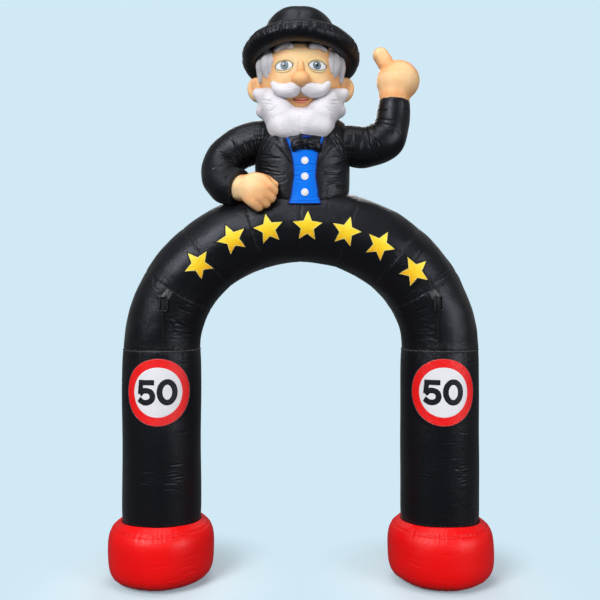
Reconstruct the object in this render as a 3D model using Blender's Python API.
"""Inflatable party arch: two padded feet, two legs, a gored bow, and a gentleman in a bowler hat on top.

The arch stands on the floor at Z = 0, with its origin midway between the legs. The front faces -Y.
Every air chamber is its own closed solid, and the seams between chambers are narrow gaps.
Lengths are in metres and angles in degrees.
"""

import math

import bmesh
import bpy
from mathutils import Matrix, Vector

# Fits, shared by every sub-part
SEAM_GAP = 0.0003
RUNNING_GAP = 0.0004
CUT_OVERRUN = 0.02

# Legs and feet
LEG_RADIUS = 0.272
LEG_SPACING = 1.948
LEG_TOP_HEIGHT = 1.603
LEG_EDGE = 0.006
FOOT_OVERHANG = 0.099
FOOT_HEIGHT = 0.424
FOOT_SOCKET_DEPTH = 0.026
WELT_RADIUS = 0.004

# Bow
BOW_RADIUS = 0.262
BOW_RISE = 0.87
GORE_COUNT = 8
GORE_PINCH = 0.005

# Number discs on the legs
DISC_RADIUS = 0.227
DISC_DROP = 0.274
DISC_THICKNESS = 0.004

# Coat
TORSO_SHIFT = 0.012
TORSO_HALF_WIDTH = 0.333
TORSO_HALF_DEPTH = 0.24
TORSO_HEIGHT = 0.742
TORSO_SINK = 0.26
RAISED_SLEEVE_RADIUS = 0.146
RESTING_SLEEVE_RADIUS = 0.146
RAISED_REACH = 0.66
RAISED_LIFT = 0.323
RESTING_REACH = 0.55
RESTING_DROP = 0.3

# Waistcoat, buttons and bow tie
WAISTCOAT_SHIFT = 0.015
WAISTCOAT_HALF_WIDTH = 0.107
WAISTCOAT_LENGTH = 0.5
WAISTCOAT_THICKNESS = 0.005
BUTTON_RADIUS = 0.025
BUTTON_THICKNESS = 0.004
BUTTON_COUNT = 3
BUTTON_PITCH = 0.106
TIE_HALF_WIDTH = 0.1
TIE_HALF_HEIGHT = 0.055
TIE_HALF_DEPTH = 0.03

# Hands
FIST_RADIUS = 0.15
RAISED_THUMB_RADIUS = 0.06
RAISED_THUMB_LENGTH = 0.155
PALM_RADIUS = 0.11
FINGER_RADIUS = 0.036
FINGER_LENGTH = 0.136
HAND_DEPTH = 0.082

# Head and what is on it
HEAD_HALF_WIDTH = 0.295
HEAD_HALF_DEPTH = 0.272
HEAD_HALF_HEIGHT = 0.33
HEAD_LIFT = 0.29
EAR_HALF_HEIGHT = 0.088
EAR_HALF_WIDTH = 0.07
EAR_HALF_DEPTH = 0.045
NOSE_RADIUS = 0.056
BROW_RADIUS = 0.027
BROW_LENGTH = 0.12
HAIR_HALF_HEIGHT = 0.105
MOUSTACHE_RADIUS = 0.045
MOUSTACHE_LENGTH = 0.2
CHIN_LOBE_RADIUS = 0.118
CHEEK_LOBE_RADIUS = 0.09
WHISKER_LENGTH = 0.09
WHISKER_RADIUS = 0.055

# Bowler hat
BRIM_RING_RADIUS = 0.344
BRIM_TUBE_RADIUS = 0.069
HAT_CROWN_RADIUS = 0.248
HAT_CROWN_HEIGHT = 0.378
HAT_TILT = 13.5
HAT_LIFT = 0.128

# Tie-down points on the bow, with their lines
ANCHOR_INSET = 0.059
ANCHOR_RISE = 0.366
TAB_SIDE = 0.052
TAB_THICKNESS = 0.0035
LOOP_WIDTH = 0.022
LOOP_WALL = 0.0025
RING_WIRE_RADIUS = 0.0045
RING_WIDTH = 0.062
RING_LENGTH = 0.106
RING_CORNER_SHARE = 0.5
LINE_RADIUS = 0.004
LINE_LENGTH = 0.17
HITCH_CORD_RADIUS = 0.0033
KNOT_RADIUS = 0.011

# Blower in the back of the left leg
BLOWER_RISE = 0.236
FLANGE_RADIUS = 0.12
FLANGE_THICKNESS = 0.008
FLANGE_SEAT_DEPTH = 0.036
DUCT_RADIUS = 0.09
DUCT_WALL = 0.003
DUCT_LENGTH = 0.12
IMPELLER_RADIUS = 0.078
IMPELLER_HUB_RADIUS = 0.026
IMPELLER_DEPTH = 0.026
BLADE_COUNT = 7
BLADE_THICKNESS = 0.004
BLADE_TWIST = 26
MOTOR_RADIUS = 0.03
MOTOR_LENGTH = 0.05
SPIDER_ARMS = 3
SPIDER_ARM_WIDTH = 0.01
SPIDER_THICKNESS = 0.005
GRILLE_WIRE = 0.004
GRILLE_RINGS = 4
GRILLE_BARS = 3
GLAND_RADIUS = 0.012
GLAND_LENGTH = 0.018
GLAND_DROP = 0.16

# Deflation zips on the back of each leg
ZIP_BOTTOM = 0.88
ZIP_LENGTH = 0.5
ZIP_TAPE_WIDTH = 0.034
ZIP_TAPE_THICKNESS = 0.0014
ZIP_CHAIN_WIDTH = 0.007
ZIP_CHAIN_HEIGHT = 0.0026
ZIP_STOP_LENGTH = 0.012
SLIDER_LENGTH = 0.02
SLIDER_WALL = 0.003
PULL_LENGTH = 0.045
PULL_WIDTH = 0.012
PULL_THICKNESS = 0.0022
PULL_PIN_RADIUS = 0.0014

# Mesh fineness, in facets
ROUND_SIDES = 28
GORE_STEPS = 3
SLEEVE_SIDES = 16
DISC_SIDES = 20
BODY_SIDES = 22
SMALL_SIDES = 10
FINGER_SIDES = 8
WIRE_SIDES = 6
LINE_STEPS = 9
GRILLE_SIDES = 16

# Worked out from the sizes above
LEG_X = LEG_SPACING / 2
FOOT_RADIUS = LEG_RADIUS + FOOT_OVERHANG
BOW_TOP = LEG_TOP_HEIGHT + BOW_RISE + BOW_RADIUS
TORSO_BASE = BOW_TOP - TORSO_SINK
TORSO_TOP = TORSO_BASE + TORSO_HEIGHT
HEAD_Z = TORSO_TOP + HEAD_LIFT
HAT_Z = HEAD_Z + HAT_LIFT
LEG_BACK = LEG_RADIUS * math.cos(math.pi / ROUND_SIDES)
BLOWER_HEIGHT = FOOT_HEIGHT + BLOWER_RISE
ANCHOR_OFFSET = LEG_X - ANCHOR_INSET
HITCH_REACH = RING_WIRE_RADIUS + RUNNING_GAP + 2 * HITCH_CORD_RADIUS
RING_STANDOFF = HITCH_REACH + RUNNING_GAP


def clear_scene():
    """Starts from an empty scene."""
    for obj in list(bpy.data.objects):
        bpy.data.objects.remove(obj)


def finish(name, colour, roughness, metallic=0):
    """A Principled material in one colour."""
    made = bpy.data.materials.new(name)
    made.use_nodes = True
    shader = made.node_tree.nodes["Principled BSDF"]
    shader.inputs["Base Color"].default_value = (*colour, 1)
    shader.inputs["Roughness"].default_value = roughness
    shader.inputs["Metallic"].default_value = metallic
    return made


def make_finishes():
    """The cloths, metals and plastics of the arch."""
    return {
        "black": finish("black_nylon", (0.012, 0.012, 0.015), 0.5),
        "red": finish("red_nylon", (0.8, 0.01, 0.012), 0.45),
        "blue": finish("blue_nylon", (0.0, 0.16, 0.8), 0.5),
        "white": finish("white_nylon", (0.85, 0.85, 0.87), 0.5),
        "grey": finish("grey_nylon", (0.42, 0.42, 0.45), 0.5),
        "skin": finish("skin_nylon", (0.9, 0.55, 0.28), 0.5),
        "webbing": finish("black_webbing", (0.03, 0.03, 0.032), 0.8),
        "steel": finish("black_steel", (0.05, 0.05, 0.055), 0.35, 1),
        "plastic": finish("black_plastic", (0.02, 0.02, 0.02), 0.4),
    }


def mesh_object(name, form, colour=None):
    """Turns a bmesh into an object with its faces pointing out."""
    bmesh.ops.recalc_face_normals(form, faces=form.faces)
    mesh = bpy.data.meshes.new(name)
    form.to_mesh(mesh)
    form.free()
    mesh.shade_smooth()
    mesh.set_sharp_from_angle(angle=math.radians(40))
    obj = bpy.data.objects.new(name, mesh)
    bpy.context.scene.collection.objects.link(obj)
    if colour:
        mesh.materials.append(colour)
    return obj


def as_cutter(obj):
    """Marks an object as a tool that shapes other objects."""
    obj.hide_render = True
    obj.display_type = "WIRE"
    return obj


def shape_with(obj, tools, operation):
    """Adds a live Boolean for each tool."""
    for tool in tools:
        step = obj.modifiers.new(tool.name, "BOOLEAN")
        step.operation = operation
        step.solver = "EXACT"
        step.object = as_cutter(tool)
    return obj


def cut_by(obj, *tools):
    return shape_with(obj, tools, "DIFFERENCE")


def joined_with(obj, *tools):
    return shape_with(obj, tools, "UNION")


def kept_inside(obj, *tools):
    return shape_with(obj, tools, "INTERSECT")


def loft(rings, closed=False):
    """A skin over rings of points. A ring of one point is a pole; a closed loft joins its ends.

    Its faces are triangles, so a grown copy has the same facets, moved out.
    """
    form = bmesh.new()
    placed = [[form.verts.new(point) for point in ring] for ring in rings]
    pairs = list(zip(placed, placed[1:]))
    if closed:
        pairs.append((placed[-1], placed[0]))
    for low, high in pairs:
        count = max(len(low), len(high))
        for i in range(count):
            j = (i + 1) % count
            corners = [low[i % len(low)], low[j % len(low)], high[j % len(high)], high[i % len(high)]]
            form.faces.new(list(dict.fromkeys(corners)))
    if not closed:
        for end in (placed[0], placed[-1]):
            if len(end) > 2:
                form.faces.new(end)
    form.normal_update()
    bmesh.ops.triangulate(form, faces=form.faces)
    return form


def grown(form, gap):
    """Moves every face of a form outwards by the gap."""
    bmesh.ops.recalc_face_normals(form, faces=form.faces)
    form.normal_update()
    moved = [(vert, vert.co + vert.normal * gap * vert.calc_shell_factor()) for vert in form.verts]
    for vert, place in moved:
        vert.co = place
    return form


def space(name, form, gap=SEAM_GAP):
    """A cutter that keeps a neighbour's room and the gap round it."""
    return mesh_object(name, grown(form, gap))


def circle_points(radius, z, sides):
    """A level ring whose flats face the X and Y axes."""
    if radius == 0:
        return [Vector((0, 0, z))]
    turns = [2 * math.pi * (i + 0.5) / sides for i in range(sides)]
    return [Vector((radius * math.cos(a), radius * math.sin(a), z)) for a in turns]


def turned(profile, sides, closed=False):
    """A solid of revolution about Z from (radius, height) points."""
    return loft([circle_points(radius, z, sides) for radius, z in profile], closed)


def arc(centre, radius, start, end, steps):
    """Points of an arc in a profile plane, angles in degrees."""
    spread = [start + (end - start) * i / steps for i in range(steps + 1)]
    return [
        (centre[0] + radius * math.cos(math.radians(a)), centre[1] + radius * math.sin(math.radians(a)))
        for a in spread
    ]


def smooth_path(points, steps):
    """A Catmull-Rom curve through the points."""
    points = [Vector(p) for p in points]
    padded = [2 * points[0] - points[1], *points, 2 * points[-1] - points[-2]]
    made = []
    for a, b, c, d in zip(padded, padded[1:], padded[2:], padded[3:]):
        for i in range(steps):
            t = i / steps
            made.append(
                0.5 * (2 * b + (c - a) * t + (2 * a - 5 * b + 4 * c - d) * t**2 + (3 * b - a - 3 * c + d) * t**3)
            )
    return [*made, points[-1]]


def between(table, share):
    """A value read from evenly spaced shares."""
    place = share * (len(table) - 1)
    low = min(int(place), len(table) - 2)
    return table[low] + (table[low + 1] - table[low]) * (place - low)


def tube_rings(path, radii, sides, depth_share=1):
    """Rings square to a path that stays away from the Y direction."""
    rings = []
    for i, point in enumerate(path):
        along = (path[min(i + 1, len(path) - 1)] - path[max(i - 1, 0)]).normalized()
        across = along.cross(Vector((0, 1, 0))).normalized()
        side = across.cross(along)
        turns = [2 * math.pi * (k + 0.5) / sides for k in range(sides)]
        rings.append(
            [point + radii[i] * (math.cos(a) * across + depth_share * math.sin(a) * side) for a in turns]
        )
    return rings


def sleeve_form(path, radius, shares):
    """A tapered tube along a smooth path, open shares of one radius from end to end."""
    spots = smooth_path(path, 4)
    count = len(spots) - 1
    radii = [radius * between(shares, i / count) for i in range(count + 1)]
    return loft(tube_rings(spots, radii, SLEEVE_SIDES))


def sausage_form(path, radius, tip_share=1, sides=SMALL_SIDES, depth_share=1):
    """A rounded roll along a path, narrowing to a share of its radius at the far tip."""
    spots = smooth_path(path, 4)
    lengths = [0]
    for a, b in zip(spots, spots[1:]):
        lengths.append(lengths[-1] + (b - a).length)
    whole = lengths[-1]
    start_cap = radius
    end_cap = radius * tip_share
    cap_shares = (0, 0.08, 0.3, 0.62, 1)
    middle_shares = (0.25, 0.5, 0.75)
    places = [start_cap * s for s in cap_shares]
    places += [start_cap + (whole - start_cap - end_cap) * s for s in middle_shares]
    places += [whole - end_cap * s for s in reversed(cap_shares)]
    rings = []
    for place in places:
        base = radius + (end_cap - radius) * place / whole
        from_start = 1 - min(place / start_cap, 1)
        from_end = 1 - min((whole - place) / end_cap, 1)
        rise = math.sqrt(max(0, 1 - max(from_start, from_end) ** 2))
        reach = next((i for i, done in enumerate(lengths) if done >= place), len(lengths) - 1)
        before = max(reach - 1, 0)
        span = lengths[reach] - lengths[before]
        share = (place - lengths[before]) / span if span else 0
        rings.append((spots[before].lerp(spots[reach], share), base * rise))
    inner = rings[1:-1]
    skin = tube_rings([spot for spot, _ in inner], [r for _, r in inner], sides, depth_share)
    return loft([[rings[0][0]], *skin, [rings[-1][0]]])


def ball_form(centre, radii, turn=None, across=13, up=8):
    """An ellipsoid, turned by a matrix before it is placed."""
    form = bmesh.new()
    bmesh.ops.create_uvsphere(form, u_segments=across, v_segments=up, radius=1)
    size = Matrix.Diagonal([*radii, 1])
    place = Matrix.Translation(centre) @ (turn or Matrix.Identity(4)) @ size
    bmesh.ops.transform(form, matrix=place, verts=form.verts)
    return form


def block_form(low, high):
    """A block between two corners."""
    form = bmesh.new()
    bmesh.ops.create_cube(form, size=1)
    low, high = Vector(low), Vector(high)
    bmesh.ops.transform(
        form, matrix=Matrix.Translation((low + high) / 2) @ Matrix.Diagonal([*(high - low), 1]), verts=form.verts
    )
    return form


def prism_form(outline, low, high):
    """An outline in the XZ plane, drawn out along Y."""
    return loft([[Vector((x, y, z)) for x, z in outline] for y in (low, high)])


def drum_form(outline, low, high, twist=0, steps=1):
    """An outline in the XY plane, drawn up along Z with a twist in degrees."""
    rings = []
    for i in range(steps + 1):
        turn = Matrix.Rotation(math.radians(twist) * i / steps, 3, "Z")
        z = low + (high - low) * i / steps
        rings.append([turn @ Vector((x, y, 0)) + Vector((0, 0, z)) for x, y in outline])
    return loft(rings)


# Feet and legs


def foot_profile():
    """Half outline of a puffed foot: flat base, bulging side, sloping top, and a socket for the leg."""
    base_shares = [(0, 0), (0.67, 0), (0.8, 0.03), (0.915, 0.115), (0.985, 0.26), (1, 0.45)]
    top_shares = [(0.994, 0.64), (0.955, 0.8), (0.89, 0.915), (0.815, 0.975)]
    rim = LEG_RADIUS + RUNNING_GAP
    outer = [(FOOT_RADIUS * r, FOOT_HEIGHT * z) for r, z in base_shares + top_shares]
    floor = FOOT_HEIGHT - FOOT_SOCKET_DEPTH
    return [*outer, (rim, FOOT_HEIGHT), (rim, floor), (0, floor)]


def make_feet(finishes):
    for side, name in ((-1, "left_foot"), (1, "right_foot")):
        foot = mesh_object(name, turned(foot_profile(), ROUND_SIDES), finishes["red"])
        foot.location.x = side * LEG_X


def leg_form():
    """A straight leg tube whose edges draw in at the seams."""
    bottom = FOOT_HEIGHT - FOOT_SOCKET_DEPTH + SEAM_GAP
    top = LEG_TOP_HEIGHT - SEAM_GAP / 2
    inner = LEG_RADIUS - LEG_EDGE
    outer = LEG_RADIUS
    profile = [
        (0, bottom),
        (inner, bottom),
        (outer, bottom + LEG_EDGE),
        (outer, top - LEG_EDGE),
        (inner, top),
        (0, top),
    ]
    return turned(profile, ROUND_SIDES)


def make_legs(finishes):
    legs = {}
    for side, name in ((-1, "left_leg"), (1, "right_leg")):
        leg = mesh_object(name, leg_form(), finishes["black"])
        leg.location.x = side * LEG_X
        legs[name] = leg
    return legs


def make_welts(finishes):
    """The piping sewn into the seam between each leg and the bow."""
    inner = BOW_RADIUS + SEAM_GAP
    outer = LEG_RADIUS + WELT_RADIUS
    low = LEG_TOP_HEIGHT + SEAM_GAP
    profile = [
        (inner, low),
        (LEG_RADIUS - LEG_EDGE + SEAM_GAP, low),
        (LEG_RADIUS + SEAM_GAP, low - LEG_EDGE),
        (outer, low - LEG_EDGE * 0.7),
        (outer, low + WELT_RADIUS * 0.5),
        (LEG_RADIUS, low + WELT_RADIUS),
        (inner, low + WELT_RADIUS),
    ]
    for side, name in ((-1, "left_seam_welt"), (1, "right_seam_welt")):
        welt = mesh_object(name, turned(profile, ROUND_SIDES, closed=True), finishes["webbing"])
        welt.location.x = side * LEG_X


# Bow


def bow_point(angle):
    """A point of the bow's centreline, angle 0 at the right leg and 180 at the left."""
    turn = math.radians(angle)
    return Vector((LEG_X * math.cos(turn), 0, LEG_TOP_HEIGHT + BOW_RISE * math.sin(turn)))


def bow_form():
    """A tube on a half ellipse, sewn from gores that draw in at each seam."""
    steps = GORE_COUNT * GORE_STEPS
    rings = []
    for i in range(steps + 1):
        turn = math.pi * i / steps
        centre = bow_point(180 * i / steps)
        along = Vector((-LEG_X * math.sin(turn), 0, BOW_RISE * math.cos(turn))).normalized()
        across = along.cross(Vector((0, 1, 0)))
        radius = BOW_RADIUS
        if i % GORE_STEPS == 0:
            radius -= GORE_PINCH
        if i in (0, steps):
            centre = centre + Vector((0, 0, SEAM_GAP / 2))
        turns = [2 * math.pi * (k + 0.5) / ROUND_SIDES for k in range(ROUND_SIDES)]
        rings.append(
            [centre + radius * (math.cos(a) * across + math.sin(a) * Vector((0, 1, 0))) for a in turns]
        )
    return loft(rings)


def make_bow(finishes):
    mesh_object("arch_bow", bow_form(), finishes["black"])


# Number discs


def make_discs(finishes):
    """A round patch that wraps the front of each leg. Its outline is a true circle on the cloth."""
    turns = [2 * math.pi * i / DISC_SIDES for i in range(DISC_SIDES)]
    outline = [
        (
            (LEG_RADIUS + DISC_THICKNESS) * math.sin(DISC_RADIUS * math.cos(a) / LEG_RADIUS),
            DISC_RADIUS * math.sin(a),
        )
        for a in turns
    ]
    for side, name in ((-1, "left_number_disc"), (1, "right_number_disc")):
        disc = mesh_object(name, prism_form(outline, -LEG_RADIUS - CUT_OVERRUN, 0), finishes["red"])
        disc.location = (side * LEG_X, 0, LEG_TOP_HEIGHT - DISC_DROP)
        outer = space(name + "_outer", leg_form(), DISC_THICKNESS)
        inner = space(name + "_inner", leg_form())
        for tool in (outer, inner):
            tool.location.x = side * LEG_X
        kept_inside(disc, outer)
        cut_by(disc, inner)


# Coat, waistcoat and tie


TORSO_SHARES = [
    (0, 0.94, 0.86),
    (0.2, 0.975, 0.94),
    (0.45, 0.99, 0.98),
    (0.66, 1, 1),
    (0.8, 0.985, 0.97),
    (0.89, 0.93, 0.89),
    (0.95, 0.82, 0.75),
    (0.985, 0.62, 0.54),
]


def torso_form():
    """The coat's body: boxy level sections, closed by a soft shoulder."""
    rings = []
    for height, width, depth in TORSO_SHARES:
        z = TORSO_BASE + TORSO_HEIGHT * height
        rings.append(
            boxy_ring(
                Vector((TORSO_SHIFT, 0, z)),
                TORSO_HALF_WIDTH * width,
                TORSO_HALF_DEPTH * depth,
            )
        )
    top = Vector((TORSO_SHIFT, 0, TORSO_TOP))
    return loft([*rings, [top]])


def boxy_ring(centre, half_width, half_depth):
    """A level ring between an ellipse and a rectangle."""
    squareness = 0.82
    ring = []
    for i in range(BODY_SIDES):
        a = 2 * math.pi * (i + 0.5) / BODY_SIDES
        c, s = math.cos(a), math.sin(a)
        ring.append(
            centre
            + Vector(
                (
                    half_width * math.copysign(abs(c) ** squareness, c),
                    half_depth * math.copysign(abs(s) ** squareness, s),
                    0,
                )
            )
        )
    return ring


def make_torso(finishes):
    torso = mesh_object("coat_body", torso_form(), finishes["black"])
    cut_by(torso, space("coat_body_bow_space", bow_form()))


WAISTCOAT_SHARES = [(0, 1), (0.1, 0.88), (0.36, 0.69), (0.54, 0.74), (0.7, 0.88), (0.82, 1.1), (1, 1.38)]


def waistcoat_outline():
    """Flares at the hem and at the collar, in the XZ plane."""
    centre = TORSO_SHIFT + WAISTCOAT_SHIFT
    base = BOW_TOP - TORSO_SINK * 0.6
    right = [
        (centre + WAISTCOAT_HALF_WIDTH * width, base + WAISTCOAT_LENGTH * height)
        for height, width in WAISTCOAT_SHARES
    ]
    left = [(2 * centre - x, z) for x, z in reversed(right)]
    return right + left


def make_waistcoat(finishes):
    """A panel that follows the front of the coat, and the buttons sewn on it."""
    panel = mesh_object(
        "waistcoat_panel", prism_form(waistcoat_outline(), -TORSO_HALF_DEPTH - CUT_OVERRUN, 0), finishes["blue"]
    )
    kept_inside(panel, space("waistcoat_outer", torso_form(), WAISTCOAT_THICKNESS))
    cut_by(
        panel,
        space("waistcoat_inner", torso_form()),
        space("waistcoat_bow_space", bow_form()),
    )
    turns = [2 * math.pi * i / 20 for i in range(20)]
    first = BOW_TOP - BUTTON_RADIUS * 3
    for i in range(BUTTON_COUNT):
        name = f"waistcoat_button_{i + 1}"
        outline = [(BUTTON_RADIUS * math.cos(a), BUTTON_RADIUS * math.sin(a)) for a in turns]
        button = mesh_object(
            name, prism_form(outline, -TORSO_HALF_DEPTH - CUT_OVERRUN, -TORSO_HALF_DEPTH / 2), finishes["white"]
        )
        button.location = (TORSO_SHIFT + WAISTCOAT_SHIFT, 0, first + BUTTON_PITCH * i)
        kept_inside(button, space(name + "_outer", torso_form(), WAISTCOAT_THICKNESS + BUTTON_THICKNESS))
        cut_by(button, space(name + "_inner", torso_form(), WAISTCOAT_THICKNESS + SEAM_GAP))


TIE_SHARES = [(-1, 0.55, 0.5), (-0.93, 0.9, 0.85), (-0.75, 1, 1), (-0.45, 0.8, 0.95), (-0.2, 0.5, 0.7), (-0.12, 0.56, 1)]


def make_tie(finishes):
    """Two puffed wings and a knot, pressed onto the coat."""
    shares = TIE_SHARES + [(-x, height, depth) for x, height, depth in reversed(TIE_SHARES)]
    rings = []
    for x, height, depth in shares:
        turns = [2 * math.pi * (k + 0.5) / SMALL_SIDES for k in range(SMALL_SIDES)]
        rings.append(
            [
                Vector(
                    (
                        TIE_HALF_WIDTH * x,
                        TIE_HALF_DEPTH * depth * math.cos(a),
                        TIE_HALF_HEIGHT * height * math.sin(a),
                    )
                )
                for a in turns
            ]
        )
    tie = mesh_object("bow_tie", loft(rings), finishes["black"])
    tie.location = (
        TORSO_SHIFT + WAISTCOAT_SHIFT,
        -TORSO_HALF_DEPTH - WAISTCOAT_THICKNESS,
        TORSO_BASE + TORSO_HEIGHT * 0.685,
    )
    cut_by(tie, space("bow_tie_seat", torso_form(), WAISTCOAT_THICKNESS + SEAM_GAP))


# Sleeves and hands


def shoulder_z():
    return TORSO_TOP - RAISED_SLEEVE_RADIUS - TORSO_HEIGHT * 0.065


def raised_path():
    """The waving arm: out from the shoulder, then up to the cuff."""
    out, up = RAISED_REACH, RAISED_LIFT
    path_shares = [(0.35, 0), (0.53, -0.01), (0.77, -0.01), (0.925, 0.2), (0.985, 0.57), (1.015, 1)]
    return [Vector((out * x, 0, shoulder_z() + up * z)) for x, z in path_shares]


def raised_sleeve_form():
    return sleeve_form(raised_path(), RAISED_SLEEVE_RADIUS, (0.97, 1, 1, 0.98, 0.9, 0.8, 0.74))


def resting_path():
    """The arm on the hip: out, down, and forward to the hand on the bow."""
    out, down, forward = RESTING_REACH, RESTING_DROP, TORSO_HALF_DEPTH
    path_shares = [
        (0.38, -0.03, 0),
        (0.65, 0.02, 0),
        (0.9, 0.23, -0.02),
        (1, 0.61, -0.18),
        (0.93, 0.94, -0.48),
        (0.76, 1.06, -0.76),
    ]
    return [Vector((-out * x, forward * y, shoulder_z() - down * z)) for x, z, y in path_shares]


def resting_sleeve_form():
    return sleeve_form(resting_path(), RESTING_SLEEVE_RADIUS, (0.97, 1, 1, 0.98, 0.93, 0.85, 0.74))


def make_sleeves(finishes):
    raised = mesh_object("raised_sleeve", raised_sleeve_form(), finishes["black"])
    cut_by(raised, space("raised_sleeve_coat_space", torso_form()))
    resting = mesh_object("resting_sleeve", resting_sleeve_form(), finishes["black"])
    cut_by(
        resting,
        space("resting_sleeve_coat_space", torso_form()),
        space("resting_sleeve_bow_space", bow_form()),
    )


def make_raised_hand(finishes):
    """A fist with its thumb up, seated on the raised cuff."""
    cuff = raised_path()[-1]
    centre = cuff + Vector((FIST_RADIUS * 0.12, 0, FIST_RADIUS * 0.93))
    fist = mesh_object(
        "raised_hand",
        ball_form(centre, (FIST_RADIUS, FIST_RADIUS * 0.86, FIST_RADIUS * 0.97), across=20, up=12),
        finishes["skin"],
    )
    root = centre + Vector((-FIST_RADIUS * 0.36, -FIST_RADIUS * 0.1, FIST_RADIUS * 0.3))
    tip = root + Vector((-RAISED_THUMB_LENGTH * 0.62, 0, RAISED_THUMB_LENGTH * 1.08))
    middle = (root + tip) / 2 + Vector((RAISED_THUMB_RADIUS * 0.12, 0, 0))
    thumb = mesh_object("raised_thumb_form", sausage_form([root, middle, tip], RAISED_THUMB_RADIUS, 0.95))
    joined_with(fist, thumb)
    cut_by(fist, space("raised_hand_cuff_space", raised_sleeve_form()))


def resting_hand_axes():
    """The hand's centre, the way its fingers point, and the way across its knuckles."""
    wrist = resting_path()[-1]
    fingers = Vector((math.cos(math.radians(40)), 0, -math.sin(math.radians(40))))
    across = Vector((-fingers.z, 0, fingers.x))
    centre = wrist + Vector((PALM_RADIUS * 0.94, -HAND_DEPTH * 0.98, -PALM_RADIUS * 0.2))
    return centre, fingers, across


def make_resting_hand(finishes):
    """A padded palm with four fingers and a thumb, laid over the top of the bow."""
    centre, fingers, across = resting_hand_axes()
    turn = Matrix.Rotation(math.radians(40), 4, "Y")
    palm = mesh_object(
        "resting_hand",
        ball_form(centre, (PALM_RADIUS, HAND_DEPTH, PALM_RADIUS * 1.02), turn=turn, across=16, up=10),
        finishes["skin"],
    )
    rolls = []
    lift = Vector((0, HAND_DEPTH, 0))
    for i, (place, length) in enumerate(((-0.72, 0.86), (-0.25, 1.02), (0.22, 1), (0.66, 0.84))):
        root = centre + across * PALM_RADIUS * place + fingers * PALM_RADIUS * 0.2 - lift * 0.22
        middle = root + fingers * FINGER_LENGTH * length * 0.55 - lift * 0.06
        tip = root + fingers * FINGER_LENGTH * length + lift * 0.35
        rolls.append(mesh_object(f"finger_form_{i + 1}", sausage_form([root, middle, tip], FINGER_RADIUS, 0.86, FINGER_SIDES)))
    thumb_root = centre + across * PALM_RADIUS * 0.72 - fingers * PALM_RADIUS * 0.2
    thumb_tip = centre + across * PALM_RADIUS * 0.98 + fingers * PALM_RADIUS * 0.95 + lift * 0.1
    thumb_middle = (thumb_root + thumb_tip) / 2 + across * FINGER_RADIUS * 0.3
    rolls.append(mesh_object("thumb_form", sausage_form([thumb_root, thumb_middle, thumb_tip], FINGER_RADIUS, 0.8, FINGER_SIDES)))
    wrist_path = [centre, *reversed(resting_path()[-2:])]
    rolls.append(mesh_object("wrist_form", sausage_form(wrist_path, PALM_RADIUS * 0.72, 1, FINGER_SIDES)))
    joined_with(palm, *rolls)
    cut_by(
        palm,
        space("resting_hand_sleeve_space", resting_sleeve_form()),
        space("resting_hand_bow_space", bow_form()),
        space("resting_hand_coat_space", torso_form(), WAISTCOAT_THICKNESS + SEAM_GAP),
    )


# Head


def head_form():
    return ball_form((0, 0, HEAD_Z), (HEAD_HALF_WIDTH, HEAD_HALF_DEPTH, HEAD_HALF_HEIGHT), across=26, up=15)


def head_surface(x, z, out=0):
    """The point of the face at a place across and up from the head's centre, moved out along Y."""
    rest = 1 - (x / HEAD_HALF_WIDTH) ** 2 - (z / HEAD_HALF_HEIGHT) ** 2
    return Vector((x, -HEAD_HALF_DEPTH * math.sqrt(max(rest, 0)) - out, HEAD_Z + z))


def make_head(finishes):
    head = mesh_object("head", head_form(), finishes["skin"])
    cut_by(head, space("head_coat_space", torso_form()))


def ear_form(side):
    lean = Matrix.Rotation(math.radians(side * 12), 4, "Y")
    return ball_form(
        (side * HEAD_HALF_WIDTH * 1.03, 0, HEAD_Z - HEAD_HALF_HEIGHT * 0.26),
        (EAR_HALF_WIDTH, EAR_HALF_DEPTH, EAR_HALF_HEIGHT),
        turn=lean,
        across=16,
        up=10,
    )


def hair_form(side):
    """A tuft that runs from the temple to the ear."""
    lean = Matrix.Rotation(math.radians(side * -14), 4, "Y")
    return ball_form(
        (side * HEAD_HALF_WIDTH * 0.89, -HEAD_HALF_DEPTH * 0.3, HEAD_Z + HEAD_HALF_HEIGHT * 0.2),
        (HAIR_HALF_HEIGHT * 0.6, HAIR_HALF_HEIGHT * 1.05, HAIR_HALF_HEIGHT),
        turn=lean,
        across=16,
        up=12,
    )


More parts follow.
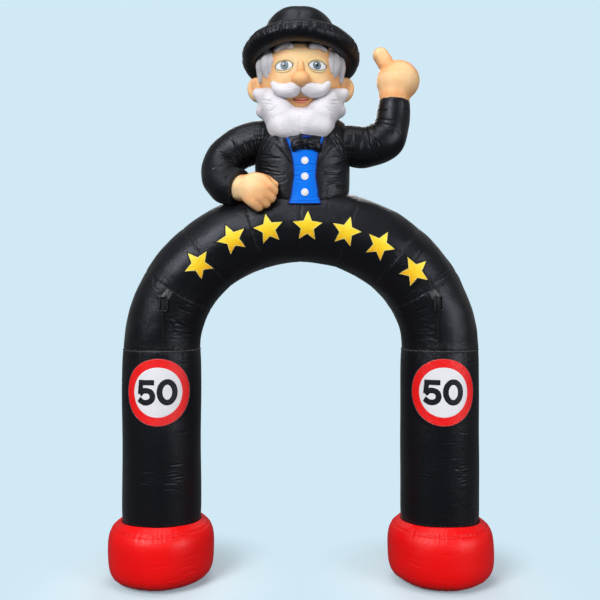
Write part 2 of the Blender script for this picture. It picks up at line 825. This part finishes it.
def beard_lobes():
    """The puffed lobes of the beard, from the chin out to the ears."""
    z = HEAD_Z - HEAD_HALF_HEIGHT
    chin, cheek, tip = CHIN_LOBE_RADIUS, CHEEK_LOBE_RADIUS, WHISKER_RADIUS
    lobes = [("chin_middle", ball_form((0, -HEAD_HALF_DEPTH * 0.54, z - chin * 0.2), (chin * 0.95, chin, chin)))]
    for side, word in ((-1, "left"), (1, "right")):
        lobes += [
            (
                word + "_chin",
                ball_form((side * chin * 0.95, -HEAD_HALF_DEPTH * 0.5, z - chin * 0.25), (chin, chin * 1.06, chin * 1.13)),
            ),
            (
                word + "_cheek",
                ball_form(
                    (side * HEAD_HALF_WIDTH * 0.64, -HEAD_HALF_DEPTH * 0.5, z + cheek * 1.2),
                    (cheek * 0.9, cheek * 1.1, cheek * 1.15),
                    turn=Matrix.Rotation(math.radians(side * 24), 4, "Y"),
                ),
            ),
            (
                word + "_lower_whisker",
                ball_form(
                    (side * HEAD_HALF_WIDTH * 0.82, -HEAD_HALF_DEPTH * 0.34, z + cheek * 0.72),
                    (WHISKER_LENGTH, tip * 1.4, tip),
                    turn=Matrix.Rotation(math.radians(side * 20), 4, "Y"),
                ),
            ),
            (
                word + "_upper_whisker",
                ball_form(
                    (side * HEAD_HALF_WIDTH * 0.87, -HEAD_HALF_DEPTH * 0.4, z + cheek * 1.9),
                    (WHISKER_LENGTH, tip * 1.4, tip),
                    turn=Matrix.Rotation(math.radians(side * -14), 4, "Y"),
                ),
            ),
        ]
    return lobes


def make_beard(finishes):
    lobes = beard_lobes()
    name, form = lobes[0]
    beard = mesh_object("beard", form, finishes["white"])
    joined_with(beard, *[mesh_object("beard_" + word, shape) for word, shape in lobes[1:]])
    cut_by(
        beard,
        space("beard_head_space", head_form()),
        space("beard_waistcoat_space", torso_form(), WAISTCOAT_THICKNESS + SEAM_GAP),
    )


def moustache_path(side):
    """From under the nose, out and up to a tip on the cheek."""
    low = -HEAD_HALF_HEIGHT * 0.43
    reach = MOUSTACHE_LENGTH
    x_shares = (0.13, 0.45, 0.78, 1)
    z_shares = (0, -0.07, 0.05, 0.26)
    return [
        head_surface(side * reach * x, low + reach * z, MOUSTACHE_RADIUS * 0.2)
        for x, z in zip(x_shares, z_shares)
    ]


def moustache_form(side):
    return sausage_form(moustache_path(side), MOUSTACHE_RADIUS, 0.4)


def nose_form():
    return ball_form(
        head_surface(0, -HEAD_HALF_HEIGHT * 0.27, NOSE_RADIUS * 0.35),
        (NOSE_RADIUS * 1.08, NOSE_RADIUS, NOSE_RADIUS * 0.92),
        across=16,
        up=10,
    )


def brow_form(side):
    start = head_surface(side * BROW_LENGTH * 0.6, HEAD_HALF_HEIGHT * 0.36, 0)
    middle = head_surface(side * BROW_LENGTH * 1.0, HEAD_HALF_HEIGHT * 0.41, 0)
    end = head_surface(side * BROW_LENGTH * 1.45, HEAD_HALF_HEIGHT * 0.33, 0)
    return sausage_form([start, middle, end], BROW_RADIUS, 0.7)


def make_face(finishes):
    """Ears, hair, brows, nose and moustache, each seated on the head."""
    nose = mesh_object("nose", nose_form(), finishes["skin"])
    cut_by(nose, space("nose_head_space", head_form()))
    for side, word in ((-1, "left"), (1, "right")):
        hair = mesh_object(word + "_hair", hair_form(side), finishes["grey"])
        cut_by(hair, space(word + "_hair_head_space", head_form()))
        cut_by(hair, space(word + "_hair_brim_space", brim_form()))
        ear = mesh_object(word + "_ear", ear_form(side), finishes["skin"])
        cut_by(
            ear,
            space(word + "_ear_head_space", head_form()),
            space(word + "_ear_hair_space", hair_form(side)),
            space(word + "_ear_brim_space", brim_form()),
        )
        near = [(lobe, form) for lobe, form in beard_lobes() if lobe.startswith((word, "chin"))]
        lobes = [space(f"{word}_{lobe}_space", form) for lobe, form in near]
        cut_by(ear, *lobes)
        brow = mesh_object(word + "_eyebrow", brow_form(side), finishes["grey"])
        cut_by(
            brow,
            space(word + "_eyebrow_head_space", head_form()),
            space(word + "_eyebrow_brim_space", brim_form()),
        )
        moustache = mesh_object(word + "_moustache", moustache_form(side), finishes["white"])
        cut_by(
            moustache,
            space(word + "_moustache_head_space", head_form()),
            space(word + "_moustache_nose_space", nose_form()),
            *lobes,
        )
        half = block_form(
            (0, -HEAD_HALF_DEPTH * 2, HEAD_Z - HEAD_HALF_HEIGHT), (HEAD_HALF_WIDTH, 0, HEAD_Z + HEAD_HALF_HEIGHT)
        )
        other = mesh_object(word + "_moustache_parting", half)
        other.location.x = -SEAM_GAP / 2 if side < 0 else -HEAD_HALF_WIDTH + SEAM_GAP / 2
        cut_by(moustache, other)


# Hat


def hat_turn():
    """The hat leans back about the middle of its brim."""
    return Matrix.Translation((0, 0, HAT_Z)) @ Matrix.Rotation(math.radians(-HAT_TILT), 4, "X")


def leaned(form):
    bmesh.ops.transform(form, matrix=hat_turn(), verts=form.verts)
    return form


def brim_form():
    """The brim is one fat ring."""
    profile = arc((BRIM_RING_RADIUS, 0), BRIM_TUBE_RADIUS, 20, 340, 8)
    return leaned(turned(profile, ROUND_SIDES, closed=True))


HAT_SHARES = [(0.95, 0), (1, 0.12), (1, 0.3), (0.975, 0.48), (0.9, 0.66), (0.76, 0.81), (0.56, 0.92), (0.3, 0.98)]


def make_hat(finishes):
    profile = [(HAT_CROWN_RADIUS * r, HAT_CROWN_HEIGHT * z) for r, z in HAT_SHARES]
    crown = mesh_object(
        "hat_crown", leaned(turned([*profile, (0, HAT_CROWN_HEIGHT)], ROUND_SIDES)), finishes["black"]
    )
    cut_by(
        crown,
        space("hat_crown_head_space", head_form()),
        space("hat_crown_brim_space", brim_form()),
    )
    brim = mesh_object("hat_brim", brim_form(), finishes["black"])
    cut_by(brim, space("hat_brim_head_space", head_form()))


# Tie-down points


def oval_path(width, length, count):
    """Points round an oval with straight sides and round corners, in the XZ plane."""
    corner = width / 2 * RING_CORNER_SHARE
    points = []
    for turn, x, z in ((0, 1, 1), (90, -1, 1), (180, -1, -1), (270, 1, -1)):
        middle = Vector((x * (width / 2 - corner), 0, z * (length / 2 - corner)))
        for i in range(count + 1):
            a = math.radians(turn + 90 * i / count)
            points.append(middle + corner * Vector((math.cos(a), 0, math.sin(a))))
    return points


def ring_form():
    """A wire ring whose top bar lies in the tab's loop. Its origin is that bar's middle."""
    wire = RING_WIRE_RADIUS
    path = oval_path(RING_WIDTH - 2 * wire, RING_LENGTH - 2 * wire, 3)
    count = len(path)
    rings = []
    for i, point in enumerate(path):
        along = (path[(i + 1) % count] - path[i - 1]).normalized()
        across = along.cross(Vector((0, 1, 0)))
        drop = Vector((0, 0, RING_LENGTH / 2 - wire))
        turns = [2 * math.pi * (k + 0.5) / WIRE_SIDES for k in range(WIRE_SIDES)]
        rings.append(
            [point - drop + wire * (math.cos(a) * across + math.sin(a) * Vector((0, 1, 0))) for a in turns]
        )
    return loft(rings, closed=True)


def loop_form(points, half_width):
    """A short bar along X with the given round section."""
    return loft([[p + Vector((x, 0, 0)) for p in points] for x in (-half_width, half_width)])


def make_anchor(name, side, back, finishes):
    """Tab and ring on the bow. back is -1 on the front of the arch and 1 on its rear."""
    bar = Vector((side * ANCHOR_OFFSET, back * (BOW_RADIUS + RING_STANDOFF), LEG_TOP_HEIGHT + ANCHOR_RISE))
    spot = bpy.data.objects.new(name + "_spot", None)
    bpy.context.scene.collection.objects.link(spot)
    spot.location = bar
    inner = RING_WIRE_RADIUS + RUNNING_GAP * 2
    outer = inner + LOOP_WALL
    half = TAB_SIDE / math.sqrt(2)
    lift = half * 0.6 + outer
    face = -back * (RING_STANDOFF - TAB_THICKNESS)
    root = -back * (RING_STANDOFF + CUT_OVERRUN)
    low, high = min(face, root), max(face, root)
    diamond = [(half, lift), (0, lift + half), (-half, lift), (0, lift - half)]
    tab = mesh_object(name + "_tab", prism_form(diamond, low, high), finishes["webbing"])
    tab.parent = spot
    section = [Vector((0, *point)) for point in arc((0, 0), outer, 22.5, 337.5, 7)]
    bore = [Vector((0, *point)) for point in arc((0, 0), inner, 22.5, 337.5, 7)]
    loop = mesh_object(name + "_loop_form", loop_form(section, LOOP_WIDTH / 2))
    neck_face = -back * outer * 0.2
    neck_root = root + back * CUT_OVERRUN / 4
    neck_half = LOOP_WIDTH * 0.46
    neck_low, neck_high = sorted((neck_face, neck_root))
    neck = mesh_object(
        name + "_neck_form",
        block_form((-neck_half, neck_low, -outer * 0.3), (neck_half, neck_high, lift * 0.83)),
    )
    hole = mesh_object(name + "_loop_bore", loop_form(bore, LOOP_WIDTH))
    for tool in (loop, neck, hole):
        tool.parent = spot
    joined_with(tab, neck, loop)
    cut_by(tab, hole, space(name + "_bow_space", bow_form()))
    ring = mesh_object(name + "_ring", ring_form(), finishes["steel"])
    ring.parent = spot
    return spot


def make_line(name, spot, finishes):
    """A short line hitched to the ring's lower bar, with a knot at its end."""
    drop = RING_LENGTH - 2 * RING_WIRE_RADIUS
    eye = HITCH_REACH - HITCH_CORD_RADIUS
    hitch_ring = []
    for i in range(SMALL_SIDES):
        a = 2 * math.pi * i / SMALL_SIDES
        out = Vector((0, math.cos(a), math.sin(a)))
        turns = [2 * math.pi * k / WIRE_SIDES for k in range(WIRE_SIDES)]
        hitch_ring.append(
            [
                Vector((0, 0, -drop))
                + out * (eye + HITCH_CORD_RADIUS * math.cos(b))
                + Vector((HITCH_CORD_RADIUS * math.sin(b), 0, 0))
                for b in turns
            ]
        )
    hitch = mesh_object(name + "_hitch", loft(hitch_ring, closed=True), finishes["webbing"])
    top = -drop - HITCH_REACH - SEAM_GAP
    spots = [Vector((0, 0, top - LINE_LENGTH * i / LINE_STEPS)) for i in range(LINE_STEPS + 1)]
    cord = bpy.data.curves.new(name + "_line", "CURVE")
    cord.dimensions = "3D"
    cord.bevel_depth = LINE_RADIUS
    cord.bevel_resolution = 2
    cord.use_fill_caps = True
    run = cord.splines.new("POLY")
    run.points.add(len(spots) - 1)
    for point, place in zip(run.points, spots):
        point.co = (*place, 1)
    line = bpy.data.objects.new(name + "_line", cord)
    cord.materials.append(finishes["webbing"])
    bpy.context.scene.collection.objects.link(line)
    bottom = Vector((0, 0, top - LINE_LENGTH - SEAM_GAP - KNOT_RADIUS * 0.92))
    knot = mesh_object(
        name + "_knot",
        ball_form(bottom, (KNOT_RADIUS, KNOT_RADIUS * 0.7, KNOT_RADIUS * 0.92), across=12, up=8),
        finishes["webbing"],
    )
    for piece in (hitch, line, knot):
        piece.parent = spot


# Blower


def star_outline(hub, tip, count, width, tip_width=None):
    """A hub with straight arms, in the XY plane."""
    tip_width = tip_width or width
    root = math.asin(width / 2 / hub)
    points = []
    for i in range(count):
        turn = 2 * math.pi * i / count
        half = tip_width / 2
        reach = math.sqrt(tip**2 - half**2)
        way = Vector((math.cos(turn), math.sin(turn)))
        side = Vector((-way.y, way.x))
        rest = 2 * math.pi / count - 2 * root
        points += [Vector((hub * math.cos(turn - root), hub * math.sin(turn - root)))]
        points += [way * reach - side * half, way * reach + side * half]
        points += [Vector((hub * math.cos(turn + root), hub * math.sin(turn + root)))]
        for k in (1, 2):
            a = turn + root + rest * k / 3
            points.append(Vector((hub * math.cos(a), hub * math.sin(a))))
    return [(p.x, p.y) for p in points]


def grille_parts(base):
    """Rim, rings and bars of the guard, all in one plane."""
    rim = DUCT_RADIUS + GRILLE_WIRE
    parts = []
    for i in range(GRILLE_RINGS):
        radius = rim * (GRILLE_RINGS - i) / GRILLE_RINGS
        half = GRILLE_WIRE / 2
        profile = [
            (radius - half, base),
            (radius + half, base),
            (radius + half, base + GRILLE_WIRE),
            (radius - half, base + GRILLE_WIRE),
        ]
        parts.append(turned(profile, GRILLE_SIDES, closed=True))
    for i in range(GRILLE_BARS):
        low = base + GRILLE_WIRE * 0.1
        form = block_form((-rim, -GRILLE_WIRE * 0.4, low), (rim, GRILLE_WIRE * 0.4, low + GRILLE_WIRE * 0.8))
        bmesh.ops.rotate(form, matrix=Matrix.Rotation(math.pi * (i + 0.25) / GRILLE_BARS, 3, "Z"), verts=form.verts)
        parts.append(form)
    return parts


def make_blower(leg, finishes):
    """A fan let into the back of the leg. Its empty looks out of the leg along local Z."""
    spot = bpy.data.objects.new("blower_spot", None)
    bpy.context.scene.collection.objects.link(spot)
    spot.location = (-LEG_X, LEG_BACK - FLANGE_SEAT_DEPTH, BLOWER_HEIGHT)
    spot.rotation_euler = (math.radians(-90), 0, 0)
    pocket = mesh_object(
        "blower_pocket",
        turned(
            [
                (0, -DUCT_LENGTH - RUNNING_GAP),
                (DUCT_RADIUS + RUNNING_GAP, -DUCT_LENGTH - RUNNING_GAP),
                (DUCT_RADIUS + RUNNING_GAP, -SEAM_GAP),
                (FLANGE_RADIUS + RUNNING_GAP, -SEAM_GAP),
                (FLANGE_RADIUS + RUNNING_GAP, FLANGE_SEAT_DEPTH + CUT_OVERRUN),
                (0, FLANGE_SEAT_DEPTH + CUT_OVERRUN),
            ],
            ROUND_SIDES,
        ),
    )
    cut_by(leg, pocket)
    bore = DUCT_RADIUS - DUCT_WALL
    bore_flat = bore * math.cos(math.pi / ROUND_SIDES)
    duct = mesh_object(
        "blower_duct",
        turned(
            [
                (bore, -DUCT_LENGTH),
                (DUCT_RADIUS, -DUCT_LENGTH),
                (DUCT_RADIUS, 0),
                (FLANGE_RADIUS, 0),
                (FLANGE_RADIUS, FLANGE_THICKNESS * 0.7),
                (FLANGE_RADIUS - FLANGE_THICKNESS * 0.3, FLANGE_THICKNESS),
                (bore, FLANGE_THICKNESS),
            ],
            ROUND_SIDES,
            closed=True,
        ),
        finishes["plastic"],
    )
    first, *others = grille_parts(FLANGE_THICKNESS + SEAM_GAP)
    grille = mesh_object("blower_grille", first, finishes["steel"])
    tools = [mesh_object(f"grille_form_{i + 1}", form) for i, form in enumerate(others)]
    joined_with(grille, *tools)
    spider_z = -DUCT_LENGTH * 0.62
    spider = mesh_object(
        "blower_spider",
        drum_form(
            star_outline(MOTOR_RADIUS, bore_flat - SEAM_GAP, SPIDER_ARMS, SPIDER_ARM_WIDTH),
            spider_z - SPIDER_THICKNESS,
            spider_z,
        ),
        finishes["plastic"],
    )
    edge = MOTOR_RADIUS * 0.12
    motor_low = spider_z + SEAM_GAP
    motor_high = motor_low + MOTOR_LENGTH * 0.6
    shaft = MOTOR_RADIUS * 0.2
    impeller_z = motor_high + RUNNING_GAP * 4
    shaft_end = impeller_z + IMPELLER_DEPTH * 0.7
    motor = mesh_object(
        "blower_motor",
        turned(
            [
                (0, motor_low),
                (MOTOR_RADIUS - edge, motor_low),
                (MOTOR_RADIUS, motor_low + edge),
                (MOTOR_RADIUS, motor_high - edge),
                (MOTOR_RADIUS - edge, motor_high),
                (shaft, motor_high),
                (shaft, shaft_end),
                (0, shaft_end),
            ],
            20,
        ),
        finishes["steel"],
    )
    impeller = mesh_object(
        "blower_impeller",
        drum_form(
            star_outline(IMPELLER_HUB_RADIUS, IMPELLER_RADIUS, BLADE_COUNT, BLADE_THICKNESS, BLADE_THICKNESS * 0.7),
            impeller_z,
            impeller_z + IMPELLER_DEPTH,
            BLADE_TWIST,
            3,
        ),
        finishes["plastic"],
    )
    bore_tool = mesh_object(
        "impeller_bore",
        turned(
            [
                (0, impeller_z - CUT_OVERRUN),
                (shaft + RUNNING_GAP, impeller_z - CUT_OVERRUN),
                (shaft + RUNNING_GAP, shaft_end + RUNNING_GAP),
                (0, shaft_end + RUNNING_GAP),
            ],
            20,
        ),
    )
    cut_by(impeller, bore_tool)
    for piece in (pocket, duct, grille, spider, motor, impeller, bore_tool, *tools):
        piece.parent = spot
    gland = mesh_object(
        "cable_gland",
        turned(
            [
                (0, SEAM_GAP),
                (GLAND_RADIUS * 1.4, SEAM_GAP),
                (GLAND_RADIUS * 1.4, GLAND_LENGTH * 0.16),
                (GLAND_RADIUS, GLAND_LENGTH * 0.2),
                (GLAND_RADIUS, GLAND_LENGTH * 0.6),
                (GLAND_RADIUS * 0.72, GLAND_LENGTH),
                (GLAND_RADIUS * 0.35, GLAND_LENGTH),
                (GLAND_RADIUS * 0.35, GLAND_LENGTH * 0.8),
                (0, GLAND_LENGTH * 0.8),
            ],
            SMALL_SIDES,
        ),
        finishes["plastic"],
    )
    gland.rotation_euler = (math.radians(-90), 0, 0)
    gland.location = (-LEG_X, LEG_BACK, BLOWER_HEIGHT - GLAND_DROP)


# Zips


def make_zip(word, side, finishes):
    """Tape and chain down the back of a leg, closed at the top, with a slider and its pull."""
    face = LEG_BACK + SEAM_GAP
    centre = side * LEG_X
    tape_top = face + ZIP_TAPE_THICKNESS
    ridge_top = tape_top + ZIP_CHAIN_HEIGHT
    half_chain = ZIP_CHAIN_WIDTH / 2
    half_tape = ZIP_TAPE_WIDTH / 2
    half_stop = half_chain + SLIDER_WALL
    section = [
        (-half_tape, face),
        (half_tape, face),
        (half_tape, tape_top),
        (half_chain, tape_top),
        (half_chain, ridge_top),
        (-half_chain, ridge_top),
        (-half_chain, tape_top),
        (-half_tape, tape_top),
    ]
    rings = [[Vector((centre + x, y, z)) for x, y in section] for z in (ZIP_BOTTOM, ZIP_BOTTOM + ZIP_LENGTH)]
    tape = mesh_object(word + "_zip_tape", loft(rings), finishes["webbing"])
    stops = []
    first_stop = ZIP_BOTTOM + ZIP_STOP_LENGTH / 3
    last_stop = ZIP_BOTTOM + ZIP_LENGTH - ZIP_STOP_LENGTH * 4 / 3
    for end, low in (("bottom", first_stop), ("top", last_stop)):
        stops.append(
            mesh_object(
                f"{word}_zip_{end}_stop",
                block_form(
                    (centre - half_stop, face + ZIP_TAPE_THICKNESS / 2, low),
                    (centre + half_stop, ridge_top + SLIDER_WALL / 2, low + ZIP_STOP_LENGTH),
                ),
            )
        )
    joined_with(tape, *stops)
    top = last_stop - RUNNING_GAP
    slot = half_chain + RUNNING_GAP
    outside = slot + SLIDER_WALL
    seat = tape_top + RUNNING_GAP
    roof = ridge_top + RUNNING_GAP
    back = roof + SLIDER_WALL
    outline = [
        (-outside, seat),
        (-slot, seat),
        (-slot, roof),
        (slot, roof),
        (slot, seat),
        (outside, seat),
        (outside, back),
        (-outside, back),
    ]
    rings = [[Vector((centre + x, y, z)) for x, y in outline] for z in (top - SLIDER_LENGTH, top)]
    slider = mesh_object(word + "_zip_slider", loft(rings), finishes["steel"])
    eye = PULL_PIN_RADIUS + RUNNING_GAP
    knuckle = eye + PULL_THICKNESS * 0.7
    axis_y = back + knuckle + RUNNING_GAP
    axis_z = top - SLIDER_LENGTH * 0.4
    tongue = PULL_WIDTH / 4
    ear_in = tongue + RUNNING_GAP
    ear_out = ear_in + PULL_THICKNESS
    ears = []
    for sign, end in ((-1, "near"), (1, "far")):
        low, high = sorted((sign * ear_in, sign * ear_out))
        ears.append(
            mesh_object(
                f"{word}_slider_{end}_ear",
                block_form(
                    (centre + low, back - SLIDER_WALL / 2, axis_z - PULL_PIN_RADIUS * 2),
                    (centre + high, axis_y + PULL_PIN_RADIUS * 1.5, axis_z + PULL_PIN_RADIUS * 2),
                ),
            )
        )
    pin = mesh_object(
        word + "_slider_pin", loop_form(pull_section(PULL_PIN_RADIUS), ear_in + PULL_THICKNESS / 2)
    )
    joined_with(slider, *ears, pin)
    shoulder = -PULL_PIN_RADIUS * 2 - RUNNING_GAP * 2
    half_plate = PULL_THICKNESS / 2
    plate = mesh_object(
        word + "_zip_pull",
        block_form((-PULL_WIDTH / 2, -half_plate, -PULL_LENGTH), (PULL_WIDTH / 2, half_plate, shoulder)),
        finishes["steel"],
    )
    neck = mesh_object(
        word + "_pull_neck",
        block_form(
            (-tongue * 0.9, -half_plate * 0.8, shoulder - PULL_THICKNESS), (tongue * 0.9, half_plate * 0.8, 0)
        ),
    )
    roll = mesh_object(word + "_pull_knuckle", loop_form(pull_section(knuckle), tongue))
    hole = mesh_object(word + "_pull_eye", loop_form(pull_section(eye), PULL_WIDTH))
    joined_with(plate, neck, roll)
    cut_by(plate, hole)
    for piece in (pin, plate, neck, roll, hole):
        piece.location = (centre, axis_y, axis_z)


def pull_section(radius):
    """A small round section in the YZ plane."""
    return [Vector((0, *point)) for point in arc((0, 0), radius, 22.5, 337.5, 7)]


def main():
    clear_scene()
    finishes = make_finishes()
    make_feet(finishes)
    legs = make_legs(finishes)
    make_bow(finishes)
    make_welts(finishes)
    make_discs(finishes)
    make_torso(finishes)
    make_waistcoat(finishes)
    make_tie(finishes)
    make_sleeves(finishes)
    make_raised_hand(finishes)
    make_resting_hand(finishes)
    make_head(finishes)
    make_beard(finishes)
    make_face(finishes)
    make_hat(finishes)
    for name, side, back in (
        ("left_front", -1, -1),
        ("right_front", 1, -1),
        ("left_rear", -1, 1),
        ("right_rear", 1, 1),
    ):
        spot = make_anchor(name, side, back, finishes)
        if back < 0:
            make_line(name, spot, finishes)
    make_blower(legs["left_leg"], finishes)
    make_zip("left", -1, finishes)
    make_zip("right", 1, finishes)


main()
